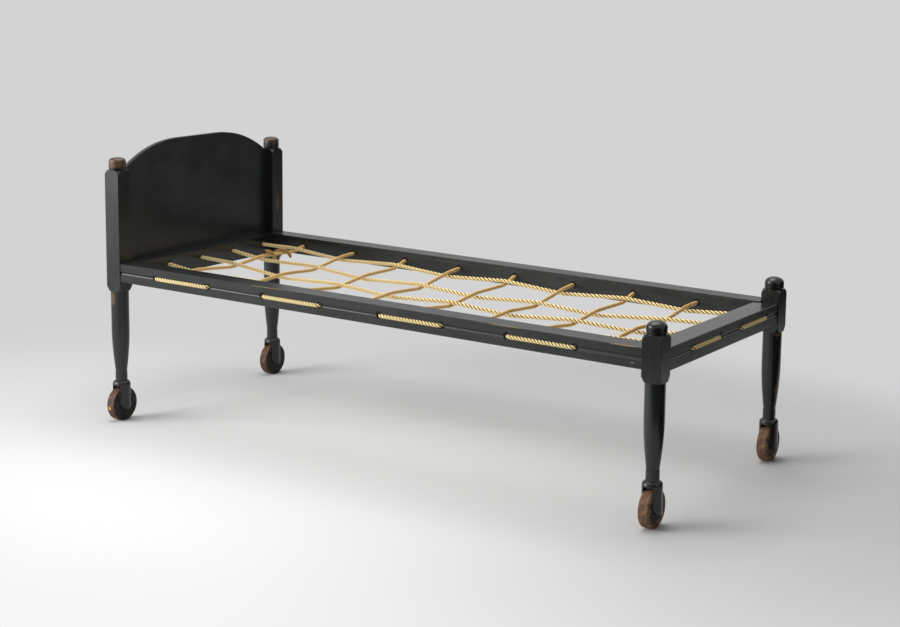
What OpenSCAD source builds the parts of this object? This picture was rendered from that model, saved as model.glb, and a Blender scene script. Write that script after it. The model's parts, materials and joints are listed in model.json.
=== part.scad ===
// Rope bed: four turned posts on wooden wheels, square rails laced with rope, and a panel headboard.
// Millimetres. X runs from the head to the foot, -Y is the near side, and the wheels stand on z = 0.

/* [Bed] */
// Length from the head post centres to the foot post centres
bed_length = 1900; // [1500:5:2400]
// Width from the near post centres to the far post centres
bed_width = 770; // [620:2:1500]
// Height of the underside of the side rails, halfway along the bed
rail_bottom = 444; // [360:1:600]
// How much lower the rails are at the foot of the bed than at its head
rail_fall = 26; // [0:1:40]

/* [Posts] */
// Width of the square block that the rails are joined to
post_w = 57; // [52:0.5:75]
// Length of the block below the side rails
block_below = 33; // [26:1:60]
// Length of a foot post's block above the side rails
foot_block_above = 36; // [20:1:80]
// Length of a head post's block above the side rails
head_block_above = 294; // [250:1:400]
// Height of a foot post's finial
foot_finial_h = 36; // [30:1:60]
// Height of a head post's finial
head_finial_h = 40; // [30:1:60]
// Radius of a head post's finial
head_finial_r = 27; // [20:0.5:28]
// Length of the leg's taper above the ankle
leg_taper = 140; // [80:1:180]
// Radius where the tapered leg is thinnest
leg_thin_r = 18; // [14:0.5:24]
// Radius of the ankle between the taper and the fork
ankle_r = 19; // [15:0.5:25]
// Height of the ankle
ankle_h = 30; // [20:1:40]
// Height of the rounded shoulder on top of the fork
collar_h = 12; // [8:1:16]
// Height of the cut corners at the foot of the block
shoulder_low = 16; // [8:1:22]
// Height of the cut corners at the top of the block
shoulder_high = 12; // [8:1:20]

/* [Wheels] */
// Diameter of a wheel
wheel_d = 108; // [90:1:130]
// Thickness of a wheel
wheel_t = 30; // [20:1:34]
// Rounding of a wheel's rims
wheel_round = 3; // [1:0.5:6]
// Diameter of the axle pins
pin_d = 8; // [6:0.5:12]
// Free space on each side of a wheel in its fork
wheel_side_gap = 1; // [0.5:0.1:2]
// Free space between a wheel and the crown of its fork
wheel_top_gap = 7; // [4:0.5:12]
// How far the fork's round ends reach below the axle
cheek_reach = 16; // [10:1:22]

/* [Rails] */
// Depth of a rail from its outer face to its inner face
rail_w = 70; // [66:1:80]
// Height of the side rails
side_rail_h = 59; // [52:1:80]
// Height of the head and foot rails
end_rail_h = 64; // [54:1:80]
// How much lower the tops of the head and foot rails are
end_rail_drop = 2; // [0:0.5:6]
// How far the rails' outer faces stand back from the posts' faces
rail_set_back = 2; // [1:0.5:6]
// Height of the rebate along the side rails' inner top edge
rebate_h = 12; // [4:1:16]
// Depth of that rebate
rebate_d = 3; // [1:0.5:6]
// Bevel of the rails' outer edges
rail_bevel = 1.5; // [0.5:0.5:3]
// Width of the groove along the middle of the rails' outer faces
groove_w = 11; // [6:0.5:13]
// Depth of that groove. Under the rope it is as deep as the rope needs.
groove_deep = 3; // [1:0.5:4]

/* [Joints] */
// Thickness of the tenons
tenon_t = 18; // [12:1:22]
// Height of the tenons
tenon_h = 44; // [36:1:46]
// Diameter of the pegs through the tenons
peg_d = 9; // [6:0.5:12]
// Distance of the pegs from the post centre
peg_out = 16; // [15:0.5:20]
// Height of the side rails' pegs above the foot of the higher tenon
side_peg_up = 20; // [17:1:22]
// Height of the end rails' pegs above the foot of the higher tenon
end_peg_up = 6; // [5.5:0.5:7]

/* [Headboard] */
// How far the headboard's ends stay below the tops of the posts' blocks
board_end_below = 4; // [1:1:60]
// Height of its middle above its ends
board_arch = 82; // [20:1:140]
// Half the width of the flat top in the middle
board_flat = 90; // [40:5:200]
// Thickness of the board
board_t = 15; // [12:0.5:22]
// Depth of the tongues in the posts' grooves
tongue = 10; // [6:1:14]

/* [Rope] */
// Diameter of the rope
rope_d = 12.5; // [10:0.5:13]
// Height of the rope's holes above the side rails' underside
hole_up = 29; // [26:1:36]
// Distance from the head post centres to the first crosswise run
run_first = 175; // [120:5:260]
// Distance from the last crosswise run to the foot post centres
run_last = 229; // [120:5:260]
// Number of crosswise runs
run_count = 8; // [6:2:12]
// Distances of the outer lengthwise runs from the near posts, at the head and at the foot
near_run = [186, 169];
// Distances of the outer lengthwise runs from the far posts, at the head and at the foot
far_run = [101, 112];
// How far each of the foot rail's two inner holes is moved toward the other
stray = 11; // [0:1:20]
// Depth of the sag in the middle of the rope net
net_sag = 27; // [10:1:40]

/* [Hidden] */
$fn = 64;

// Clearances
joint_gap = 0.15;      // between a tenon or tongue and its mortise or groove
peg_gap = 0.05;        // between a peg and its bore
pin_gap = 0.02;        // between an axle pin and the fork's bores
wheel_bore_gap = 0.07; // between an axle pin and the wheel's bore
mitre_gap = 0.35;      // between the mitred tenons
turned_gap = 0.2;      // how far the turned parts stay inside the block's faces
hole_play = 1.5;       // between the rope and its holes and grooves, on the diameter

// Heights halfway along the bed. lift is what a head or foot corner stands higher, and fall_at what
// the rails do at a distance x from the head post centres.
function lift(foot) = (foot ? -0.5 : 0.5) * rail_fall;
function fall_at(x) = rail_fall * (0.5 - x / bed_length);
rail_top = rail_bottom + side_rail_h;
end_top = rail_top - end_rail_drop;
end_bottom = end_top - end_rail_h;
block_bottom = rail_bottom - block_below;
foot_block_top = rail_top + foot_block_above;
head_block_top = rail_top + head_block_above;
hole_z = rail_bottom + hole_up;
hole_d = rope_d + hole_play;
axle_z = wheel_d / 2;
slot_top = wheel_d + wheel_top_gap;
crown_t = 3;           // wood left between the slot and the collar
collar_bottom = slot_top + crown_t;
ankle_bottom = collar_bottom + collar_h;
ankle_top = ankle_bottom + ankle_h;
leg_top = ankle_top + leg_taper;

// Plan
half = post_w / 2;
leg_r = half - turned_gap;
corner_r = 1.395 * half; // the block's arrises are eased to this radius
rail_out = half - rail_set_back;
rail_in = rail_w - rail_out;
slot_w = wheel_t + 2 * wheel_side_gap;
cheek_r = sqrt(pow(leg_r, 2) - pow(slot_w / 2, 2)) + 0.7;
cheek_z = axle_z - cheek_reach + cheek_r;
far_y = bed_width;
foot_x = bed_length;

paint = [0.20, 0.22, 0.21];
worn_paint = [0.25, 0.26, 0.24];
wheel_wood = [0.42, 0.31, 0.20];
iron = [0.25, 0.25, 0.26];
gold_rope = [0.90, 0.78, 0.52];
tan_rope = [0.76, 0.61, 0.38];

// ---- Turned profiles, as points of [radius, height] ----

// A quarter of a superellipse that closes from radius r over height h
function crown(r, z, h, power, steps = 9) = [
  for (i = [0 : steps - 1])
    let (a = 90 * i / steps)
    [r * pow(cos(a), 2 / power), z + h * pow(sin(a), 2 / power)]
];

// The round part of every post below its block, which starts at the height top
function leg_profile(top) = concat(
  [[0, axle_z - cheek_reach], [leg_r, axle_z - cheek_reach]],
  [for (i = [0 : 6]) let (a = 15 * i)
    [ankle_r + (leg_r - ankle_r) * cos(a), collar_bottom + collar_h * sin(a)]],
  [[ankle_r, ankle_top], [leg_thin_r, ankle_top]],
  [for (i = [1 : 12]) let (t = i / 12)
    [leg_thin_r + (leg_r - leg_thin_r) * sin(90 * t), ankle_top + (leg_top - ankle_top) * t]],
  [[leg_r, top]]
);

// The envelope that cuts the block's corners at both ends, so that each face ends in two slanted
// straight edges beside a flat one. t runs from 0 at the block's end to 1 where the corner is whole.
function cut_r(t) = min(corner_r, half * sqrt(1 + pow(0.55 + 0.45 * t, 2)));
function block_profile(low, high) = concat(
  [for (i = [0 : 5]) [cut_r(i / 5), low + shoulder_low * i / 5]],
  [for (i = [5 : -1 : 0]) [cut_r(i / 5), high - shoulder_high * i / 5]]
);

// A finial: a slight neck, a straight side and a rounded crown
function finial_profile(z, r, h, crown_h, power) = concat(
  [[r - 1.5, z], [r - 1.5, z + 2], [r, z + 5]],
  crown(r, z + h - crown_h, crown_h, power),
  [[0, z + h]]
);

function foot_profile() = let (z = lift(true)) concat(
  leg_profile(block_bottom + z), block_profile(block_bottom + z, foot_block_top + z),
  finial_profile(foot_block_top + z, leg_r, foot_finial_h, 19, 2.2)
);
function head_profile() = let (z = lift(false)) concat(
  leg_profile(block_bottom + z), block_profile(block_bottom + z, head_block_top + z),
  finial_profile(head_block_top + z, head_finial_r, head_finial_h, 14, 2.6)
);

// ---- Placing ----

module flip_x(on) {
  if (on) mirror([1, 0, 0]) children();
  else children();
}
module flip_y(on) {
  if (on) mirror([0, 1, 0]) children();
  else children();
}
// Puts a corner's shape, drawn for the head's near corner, at any corner
module at_corner(foot, far) {
  translate([foot ? foot_x : 0, far ? far_y : 0, 0])
    flip_x(foot) flip_y(far) children();
}
module along_x(r, x0, x1, y, z) {
  translate([x0, y, z]) rotate([0, 90, 0]) cylinder(r = r, h = x1 - x0);
}
module along_y(r, y0, y1, x, z) {
  translate([x, y1, z]) rotate([90, 0, 0]) cylinder(r = r, h = y1 - y0);
}

// ---- Joints of one corner, at the height halfway along the bed ----

side_tenon_z = rail_bottom + (side_rail_h - tenon_h) / 2;
end_tenon_z = end_bottom + (end_rail_h - tenon_h) / 2;
joint_low = max(side_tenon_z, end_tenon_z);
side_peg_z = joint_low + side_peg_up;
end_peg_z = joint_low + end_peg_up;
th = tenon_t / 2;
module lifted(foot) {
  translate([0, 0, lift(foot)]) children();
}

// A tenon toward -X, mitred where it meets its neighbour at the middle of the post
module side_tenon() {
  translate([0, 0, side_tenon_z]) linear_extrude(tenon_h)
    polygon([[half + 1, -th], [half + 1, th], [th + mitre_gap, th], [-th + mitre_gap, -th]]);
}
module end_tenon() {
  translate([0, 0, end_tenon_z]) linear_extrude(tenon_h)
    polygon([[-th, half + 1], [th, half + 1], [th, th + mitre_gap], [-th, -th + mitre_gap]]);
}
module mortises() {
  translate([-th - joint_gap, -th - joint_gap, side_tenon_z - joint_gap])
    cube([half + th + joint_gap + 1, tenon_t + 2 * joint_gap, tenon_h + 2 * joint_gap]);
  translate([-th - joint_gap, -th - joint_gap, end_tenon_z - joint_gap])
    cube([tenon_t + 2 * joint_gap, half + th + joint_gap + 1, tenon_h + 2 * joint_gap]);
}
module side_peg(r, over) {
  along_y(r, -half - over, half + over, peg_out, side_peg_z);
}
module end_peg(r, over) {
  along_x(r, -half - over, half + over, peg_out, end_peg_z);
}

// ---- Posts ----

module fork_cuts() {
  translate([-slot_w / 2, -half - 1, 0]) cube([slot_w, post_w + 2, slot_top]);
  difference() {
    translate([-half - 1, -half - 1, 0]) cube([post_w + 2, post_w + 2, cheek_z]);
    along_x(cheek_r, -half - 2, half + 2, 0, cheek_z);
  }
  along_x(pin_d / 2 + pin_gap, -half - 1, half + 1, 0, axle_z);
}
module post(foot, profile, top) {
  difference() {
    intersection() {
      rotate_extrude() polygon(profile);
      translate([-half, -half, 0]) cube([post_w, post_w, top + rail_fall + 1]);
    }
    fork_cuts();
    lifted(foot) {
      mortises();
      side_peg(peg_d / 2 + peg_gap, 1);
      end_peg(peg_d / 2 + peg_gap, 1);
    }
  }
}
module foot_post() {
  post(true, foot_profile(), foot_block_top + foot_finial_h);
}
module head_post() {
  difference() {
    post(false, head_profile(), head_block_top + head_finial_h);
    lifted(false) translate([-board_t - joint_gap, half - tongue - 2 * joint_gap, end_top])
      cube([board_t + 2 * joint_gap, tongue + 1, board_end - end_top + joint_gap]);
  }
}

module head_post_near() { color(paint) at_corner(false, false) head_post(); }
module head_post_far() { color(paint) at_corner(false, true) head_post(); }
module foot_post_near() { color(paint) at_corner(true, false) foot_post(); }
module foot_post_far() { color(paint) at_corner(true, true) foot_post(); }

// ---- Wheels and axle pins ----

function wheel_profile() = let (r = wheel_d / 2, t = wheel_t / 2, c = wheel_round) concat(
  [[pin_d / 2 + wheel_bore_gap, -t]],
  [for (i = [0 : 4]) let (a = 22.5 * i) [r - c + c * sin(a), -t + c - c * cos(a)]],
  [for (i = [0 : 4]) let (a = 22.5 * i) [r - c + c * cos(a), t - c + c * sin(a)]],
  [[pin_d / 2 + wheel_bore_gap, t]]
);
module wheel() {
  translate([0, 0, axle_z]) rotate([0, 90, 0]) rotate_extrude() polygon(wheel_profile());
}
module axle_pin() {
  along_x(pin_d / 2, -leg_r + 0.2, leg_r - 0.2, 0, axle_z);
}

module wheel_head_near() { color(wheel_wood) at_corner(false, false) wheel(); }
module wheel_head_far() { color(wheel_wood) at_corner(false, true) wheel(); }
module wheel_foot_near() { color(wheel_wood) at_corner(true, false) wheel(); }
module wheel_foot_far() { color(wheel_wood) at_corner(true, true) wheel(); }
module axle_head_near() { color(iron) at_corner(false, false) axle_pin(); }
module axle_head_far() { color(iron) at_corner(false, true) axle_pin(); }
module axle_foot_near() { color(iron) at_corner(true, false) axle_pin(); }
module axle_foot_far() { color(iron) at_corner(true, true) axle_pin(); }

// ---- Where the rope goes ----

bend_r = hole_d / 2 + 2; // radius of the rope's bends at the holes' mouths
mouth_r = hole_d / 2 + 0.4;
run_pitch = (foot_x - run_first - run_last) / (run_count - 1);
function run_x(k) = run_first + run_pitch * k;
// Places of the four lengthwise runs on an end rail, from the near side: end 0 is the head, 1 the foot
function lace_pitch(e) = (far_y - near_run[e] - far_run[e]) / 3;
function lace_y(e, j) = near_run[e] + lace_pitch(e) * j + (j == 1 ? 1 : j == 2 ? -1 : 0) * stray * e;
inside = rail_in + 4;   // where the runs leave the rails
function hole_at(x) = hole_z + fall_at(x);
function lane_y(j, x) = lace_y(0, j)
  + (lace_y(1, j) - lace_y(0, j)) * (x - inside) / (foot_x - 2 * inside);

// ---- Rails ----

function rail_section(bottom, top, cut_h, cut_d) = [
  [-rail_out + rail_bevel, bottom], [rail_in, bottom], [rail_in, top - cut_h],
  [rail_in - cut_d, top - cut_h], [rail_in - cut_d, top],
  [-rail_out + rail_bevel, top], [-rail_out, top - rail_bevel], [-rail_out, bottom + rail_bevel]
];

// The round mouth of a hole, worn where the rope turns from the hole into the groove toward +X
module mouth(z) {
  translate([bend_r, -rail_out + bend_r, z])
    rotate([0, 0, 180]) rotate_extrude(angle = 90) translate([bend_r, 0]) circle(r = mouth_r);
}

// What falls with the side rails, drawn level
module falling() {
  translate([0, 0, hole_z + rail_fall / 2]) rotate([0, atan(rail_fall / bed_length), 0])
    translate([0, 0, -hole_z]) children();
}
module at_end(foot) {
  lifted(foot) translate([foot ? foot_x : 0, 0, 0]) flip_x(foot) children();
}

// The groove's round bottom has this radius and stands this far in front of the rail's face
groove_r = (pow(groove_w, 2) / 4 + pow(groove_deep, 2)) / (2 * groove_deep);
groove_line = -rail_out - groove_r + groove_deep;
bed_in = bend_r - 1;    // from a hole to where the rope's own deeper bed meets the mouth

// A side rail, drawn for the near side. first is the run that its first outer link starts from.
module side_rail(first) {
  difference() {
    union() {
      intersection() {
        falling() translate([-half, 0, 0]) rotate([90, 0, 90]) linear_extrude(foot_x + post_w)
          polygon(rail_section(rail_bottom, rail_top, rebate_h, rebate_d));
        translate([half, -rail_w, 0])
          cube([foot_x - post_w, 2 * rail_w, rail_top + rail_fall]);
      }
      for (foot = [false, true]) at_end(foot) side_tenon();
    }
    falling() {
      along_x(groove_r, 0, foot_x, groove_line, hole_z);
      for (k = [first : 2 : run_count - 2])
        along_x(hole_d / 2, run_x(k) + bed_in, run_x(k + 1) - bed_in, -rail_out, hole_z);
    }
    for (k = [0 : run_count - 1])
      along_y(hole_d / 2, -half - 1, rail_in + 1, run_x(k), hole_at(run_x(k)));
    for (k = [first : 2 : run_count - 2]) {
      translate([run_x(k), 0, 0]) mouth(hole_at(run_x(k)));
      translate([run_x(k + 1), 0, 0]) mirror([1, 0, 0]) mouth(hole_at(run_x(k + 1)));
    }
    for (foot = [false, true]) at_end(foot) side_peg(peg_d / 2 + peg_gap, 1);
  }
}
module side_rail_near() { color(worn_paint) side_rail(0); }
module side_rail_far() { color(worn_paint) translate([0, far_y, 0]) mirror([0, 1, 0]) side_rail(1); }

// An end rail, drawn for the head and at the height halfway along the bed. links lists the lengthwise runs that an outer link starts from.
module end_rail(e, links) {
  notch = rail_in - half + mitre_gap;
  difference() {
    union() {
      translate([0, far_y - half, 0]) rotate([90, 0, 0]) linear_extrude(far_y - post_w)
        polygon(rail_section(end_bottom, end_top, 0.5, 0.5));
      end_tenon();
      translate([0, far_y, 0]) mirror([0, 1, 0]) end_tenon();
    }
    for (y = [half - 1, far_y - half - notch])
      translate([half - mitre_gap, y, 0]) cube([rail_in, notch + 1, end_top + 1]);
    along_y(groove_r, half - 1, far_y - half + 1, groove_line, hole_z);
    for (j = links)
      along_y(hole_d / 2, lace_y(e, j) + bed_in, lace_y(e, j + 1) - bed_in, -rail_out, hole_z);
    for (j = [0 : 3])
      along_x(hole_d / 2, -half - 1, rail_in + 1, lace_y(e, j), hole_z);
    for (j = links) {
      translate([0, lace_y(e, j), 0]) mirror([0, 1, 0]) rotate([0, 0, -90]) mouth(hole_z);
      translate([0, lace_y(e, j + 1), 0]) rotate([0, 0, -90]) mouth(hole_z);
    }
    end_peg(peg_d / 2 + peg_gap, 1);
    translate([0, far_y, 0]) mirror([0, 1, 0]) end_peg(peg_d / 2 + peg_gap, 1);
  }
}
module head_rail() { color(worn_paint) at_end(false) end_rail(0, [1]); }
module foot_rail() { color(worn_paint) at_end(true) end_rail(1, [0, 2]); }

module side_rail_pegs() {
  color(paint) for (foot = [false, true], far = [false, true])
    at_corner(foot, far) lifted(foot) side_peg(peg_d / 2, -0.1);
}
module end_rail_pegs() {
  color(paint) for (foot = [false, true], far = [false, true])
    at_corner(foot, far) lifted(foot) end_peg(peg_d / 2, -0.1);
}

// ---- Headboard ----

board_half = bed_width / 2 - half;
board_end = head_block_top - board_end_below;
function board_top(d) = board_end + board_arch
  * (d > board_flat ? 1 - pow((d - board_flat) / (board_half - board_flat), 2.2) : 1);
module headboard() {
  steps = 24;
  span = board_half - board_flat;
  right = [for (i = [0 : steps]) let (d = board_half - span * i / steps) [d, board_top(d)]];
  left = [for (i = [0 : steps]) let (d = board_flat + span * i / steps) [-d, board_top(d)]];
  ends = board_half + tongue;
  color(paint) translate([-board_t, bed_width / 2, lift(false)]) rotate([90, 0, 90])
    linear_extrude(board_t) polygon(concat(
      [[-ends, end_top], [ends, end_top], [ends, board_end]], right, left, [[-ends, board_end]]
    ));
}

// ---- Rope ----

rope_r = rope_d / 2;
weave = rope_r + 0.6;   // half the distance of two crossing ropes' lines
sides = 8;

// Depth of the net's middle surface below the holes
function sag(x, y) = net_sag * (1 - pow(abs(2 * x / foot_x - 1.05), 3))
  * (1 - pow((y - 0.46 * far_y) / (far_y / 2 + 15), 2));
// Height of a rope where runs k and j cross: up is 1 for the upper rope, -1 for the lower
function cross_z(k, j, up) = hole_at(run_x(k)) - sag(run_x(k), lane_y(j, run_x(k))) + up * weave;
function crosswise_up(k, j) = (k + j) % 2 == 0 ? 1 : -1;
function ease(t) = (1 - cos(180 * t)) / 2;

// Points through stations of [distance, height]: straight between them and rounded at each
round_off = 9;
function rounded(st) = concat(
  [st[0]],
  [for (i = [1 : len(st) - 2]) each let (
      a = st[i] + round_off * unit(st[i - 1] - st[i]), b = st[i] + round_off * unit(st[i + 1] - st[i])
    ) [a, st[i] * 0.8 + (a + b) / 10, b]],
  [st[len(st) - 1]]
);
function reversed(v) = [for (i = [len(v) - 1 : -1 : 0]) v[i]];

// A crosswise run's stations and points from the near rail to the far rail
function cross_stations(k) = concat(
  [[inside, hole_at(run_x(k))]],
  [for (j = [0 : 3]) [lane_y(j, run_x(k)), cross_z(k, j, crosswise_up(k, j))]],
  [[far_y - inside, hole_at(run_x(k))]]
);
function cross_run(k) = [for (q = rounded(cross_stations(k))) [run_x(k), q[0], q[1]]];
// A lengthwise run's points from the head rail to the foot rail
function end_hole(e) = hole_z + lift(e == 1);
function length_run(j) = let (
  st = concat([[inside, end_hole(0)]],
    [for (k = [0 : run_count - 1]) [run_x(k), cross_z(k, j, -crosswise_up(k, j))]],
    [[foot_x - inside, end_hole(1)]])
) [for (q = rounded(st)) [q[0], lane_y(j, q[0]), q[1]]];

// A link outside a rail from place a to place b along its groove, with a bend at each end. deep is
// the way into the rail, and face is the groove's line.
function link(a, b, face, deep) = let (s = sign(b - a)) concat(
  [for (i = [0 : 3]) let (w = 30 * i)
    [a + s * bend_r * (1 - cos(w)), face + deep * bend_r * (1 - sin(w))]],
  [for (i = [3 : -1 : 0]) let (w = 30 * i)
    [b - s * bend_r * (1 - cos(w)), face + deep * bend_r * (1 - sin(w))]]
);
near_face = -rail_out;
far_face = far_y + rail_out;
head_face = -rail_out;
foot_face = foot_x + rail_out;

// The whole crosswise rope, from its first hole in the far rail to its last
crosswise_path = concat(
  [[run_x(0), far_face, hole_at(run_x(0))]],
  [for (k = [0 : run_count - 1]) each concat(
    k % 2 == 0 ? reversed(cross_run(k)) : cross_run(k),
    k == run_count - 1 ? [] :
      [for (q = link(run_x(k), run_x(k + 1), k % 2 == 0 ? near_face : far_face, k % 2 == 0 ? 1 : -1))
        [q[0], q[1], hole_at(q[0])]])],
  [[run_x(run_count - 1), far_face, hole_at(run_x(run_count - 1))]]
);
// The whole lengthwise rope, from the near hole in the head rail to the far one
lengthwise_path = concat(
  [[head_face, lace_y(0, 0), end_hole(0)]],
  [for (j = [0 : 3]) each concat(
    j % 2 == 0 ? length_run(j) : reversed(length_run(j)),
    j == 3 ? [] :
      [for (q = link(lace_y(j % 2 == 0 ? 1 : 0, j), lace_y(j % 2 == 0 ? 1 : 0, j + 1),
          j % 2 == 0 ? foot_face : head_face, j % 2 == 0 ? -1 : 1))
        [q[1], q[0], end_hole(1 - j % 2)]])],
  [[head_face, lace_y(0, 3), end_hole(0)]]
);

// A stopper knot, as points of [across, along the groove, out of the rail]. The rope comes straight
// out, turns aside at the top and goes once round itself against the rail.
wrap_r = rope_d + 0.5;  // distance of a wrapped rope's centre from the rope inside it
knot_low = rope_r + 0.5;
knot_high = knot_low + rope_d + 1.1;
knot_lead = 8;          // straight rope before the turn
function bezier(p, t) = pow(1 - t, 3) * p[0] + 3 * t * pow(1 - t, 2) * p[1]
  + 3 * t * t * (1 - t) * p[2] + pow(t, 3) * p[3];
knot_turn = 60;         // where round the knot the aside turn ends
knot_path = let (
  c = cos(knot_turn), s = sin(knot_turn), e = [wrap_r * c, wrap_r * s, knot_high]
) concat(
  [[0, 0, 0]],
  [for (t = [0 : 0.2 : 0.99]) bezier([[0, 0, knot_lead], [0, 0, knot_high + 1], e - 9 * [-s, c, 0], e], t)],
  [for (a = [0 : 24 : 336]) let (w = knot_turn + a)
    [wrap_r * cos(w), wrap_r * sin(w), knot_high - (knot_high - knot_low) * ease(min(1, a / 240))]],
  [for (d = [6, 12]) [wrap_r * cos(knot_turn + 336) - d * sin(knot_turn + 336),
    wrap_r * sin(knot_turn + 336) + d * cos(knot_turn + 336), knot_low]]
);

// The tied end, twisted round the first crosswise run between its two far crossings
tie_from = lane_y(3, run_x(0)) - 42;
tie_to = lane_y(2, run_x(0)) + 22;
tie_turns = 1;
function run_z(k, y) = lookup(y, cross_stations(k));
tie_path = let (x = run_x(0), sweep = 360 * tie_turns + 90) concat(
  [for (d = [24, 12]) [x + wrap_r + d * 0.2, tie_from + 2 + d * 0.5, run_z(0, tie_from) - d]],
  [for (a = [0 : 30 : sweep]) let (y = tie_from + (tie_to - tie_from) * a / sweep)
    [x + wrap_r * cos(a), y, run_z(0, y) + wrap_r * sin(a)]],
  [for (d = [7, 14]) [x - d * 0.1, tie_to - d, run_z(0, tie_to - d) + wrap_r + 0.3]]
);

// ---- Sweep of a tube along a path ----

function unit(v) = v / norm(v);
function way(p, i) = unit(p[min(i + 1, len(p) - 1)] - p[max(i - 1, 0)]);
function square_to(v, t) = unit(v - (v * t) * t);
function sides_of(p, first) = [
  for (i = 0, u = square_to(first, way(p, 0)); i < len(p);
       i = i + 1, u = i < len(p) ? square_to(u, way(p, i)) : u) u
];
// End rings are square to flat, which is the rope's direction where it is cut
function tube_points(p, first, r) = let (us = sides_of(p, first)) [
  for (i = [0 : len(p) - 1]) let (t = way(p, i), u = us[i], v = cross(t, u))
    for (j = [0 : sides - 1]) let (a = 360 * j / sides)
      p[i] + r * cos(a) * u + r * sin(a) * v
];
function tube_faces(n) = concat(
  [for (i = [0 : n - 2], j = [0 : sides - 1], half_quad = [0, 1])
    let (a = i * sides + j, b = i * sides + (j + 1) % sides, c = b + sides, d = a + sides)
    half_quad == 0 ? [a, d, c] : [a, c, b]],
  [for (j = [1 : sides - 2]) [0, j, j + 1]],
  [for (j = [1 : sides - 2]) let (e = (n - 1) * sides) [e, e + j + 1, e + j]]
);
module tube(p, first) {
  polyhedron(points = tube_points(p, first, rope_r), faces = tube_faces(len(p)), convexity = 10);
}

// Least gap of a path's tube to itself, measured between points further apart along it than skip
function self_gap(p, skip) = min([
  for (i = [0 : len(p) - 2], j = [i + 1 : len(p) - 1])
    if (j - i >= skip) norm(p[i] - p[j]) - rope_d
]);

module crosswise_rope() { color(tan_rope) tube(crosswise_path, [0, 0, 1]); }
module lengthwise_rope() { color(gold_rope) tube(lengthwise_path, [0, 0, 1]); }

// Knots on the far rail turn out toward +Y, and those on the head rail toward -X
function far_knot(x) = [for (q = knot_path) [x + q[0], far_face + q[2], hole_at(x) + q[1]]];
function head_knot(y) = [for (q = knot_path) [head_face - q[2], y + q[0], end_hole(0) + q[1]]];
module crosswise_knot_head() { color(tan_rope) tube(far_knot(run_x(0)), [0, 0, 1]); }
module crosswise_knot_foot() { color(tan_rope) tube(far_knot(run_x(run_count - 1)), [0, 0, 1]); }
module lengthwise_knot_near() { color(gold_rope) tube(head_knot(lace_y(0, 0)), [0, 0, 1]); }
module lengthwise_knot_far() { color(gold_rope) tube(head_knot(lace_y(0, 3)), [0, 0, 1]); }
module tied_rope_end() { color(tan_rope) tube(tie_path, [1, 0, 0]); }

// ---- The bed's own origin: on the floor under the middle of its box ----

head_most = min([for (p = tube_points(head_knot(0), [0, 0, 1], rope_r)) p[0]]);
foot_most = max([for (p = tube_points(lengthwise_path, [0, 0, 1], rope_r)) p[0]]);
mid_x = (min(head_most, -half) + max(foot_most, foot_x + half)) / 2;
mid_y = far_y / 2;

echo(mid_x = mid_x, head_most = head_most, foot_most = foot_most);
echo(knot_gap = self_gap(knot_path, 8), tie_gap = self_gap(tie_path, 8));
echo(rings = len(crosswise_path) + len(lengthwise_path) + 4 * len(knot_path) + len(tie_path));

translate([-mid_x, -mid_y, 0]) {
  head_post_near();
  head_post_far();
  foot_post_near();
  foot_post_far();
  side_rail_near();
  side_rail_far();
  head_rail();
  foot_rail();
  headboard();
  side_rail_pegs();
  end_rail_pegs();
  wheel_head_near();
  wheel_head_far();
  wheel_foot_near();
  wheel_foot_far();
  axle_head_near();
  axle_head_far();
  axle_foot_near();
  axle_foot_far();
  crosswise_rope();
  lengthwise_rope();
  crosswise_knot_head();
  crosswise_knot_foot();
  lengthwise_knot_near();
  lengthwise_knot_far();
  tied_rope_end();
}
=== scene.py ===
"""Rope bed: painted posts and rails, wooden wheels and two laced ropes, over the fixed CAD frame."""
import json
import math

import bmesh
import bpy
import numpy as np
from mathutils import Matrix, Vector


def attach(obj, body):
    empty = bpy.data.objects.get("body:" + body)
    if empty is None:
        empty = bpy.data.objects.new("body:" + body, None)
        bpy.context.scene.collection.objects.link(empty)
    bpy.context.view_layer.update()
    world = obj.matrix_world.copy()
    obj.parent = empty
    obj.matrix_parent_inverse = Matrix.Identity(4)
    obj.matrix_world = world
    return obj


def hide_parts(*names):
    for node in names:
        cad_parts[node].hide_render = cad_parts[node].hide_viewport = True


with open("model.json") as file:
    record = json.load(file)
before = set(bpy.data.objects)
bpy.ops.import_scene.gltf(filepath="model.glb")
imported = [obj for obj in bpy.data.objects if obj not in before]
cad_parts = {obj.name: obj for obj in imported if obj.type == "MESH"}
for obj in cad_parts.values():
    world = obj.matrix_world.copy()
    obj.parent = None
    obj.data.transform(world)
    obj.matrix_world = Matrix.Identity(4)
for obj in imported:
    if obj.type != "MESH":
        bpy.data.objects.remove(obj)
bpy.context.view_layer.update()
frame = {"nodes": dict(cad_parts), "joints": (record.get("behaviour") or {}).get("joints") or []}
nodes = frame["nodes"]
scene = bpy.context.scene
MM = 0.001

# The bed's plan, in mm from the near head post's centre: +x to the foot, +y to the far side. Each wheel's
# axle is under the centre of its post.
AXLES = {joint["child"].removeprefix("wheel_"): joint["pos_m"] for joint in frame["joints"]}
START = AXLES["head_near"]
LENGTH = (AXLES["foot_near"][0] - START[0]) / MM
WIDTH = (AXLES["head_far"][1] - START[1]) / MM
HOLE_Z, FALL = 473.0, 26.0     # height of the ropes' holes halfway along the bed, and the rails' whole fall
RAIL_OUT = 26.5                # from the posts' centres to the rails' outer faces
POST_HALF = 28.5               # from the posts' centres to their square blocks' faces


def place(x, y, z):
    """A point of the plan in metres, in the frame."""
    return Vector((START[0] + x * MM, START[1] + y * MM, z * MM))


# ---------------------------------------------------------------- camera
# Fitted to the photograph. The turns are in radians: left of +y, down, and round the line of sight.
CAMERA_PLACE = (3948.20, -4140.92, 1529.25)
YAW, PITCH, ROLL = 0.57693, 0.16430, 0.01036
LENS, SENSOR = 71.908, 36      # mm
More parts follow.
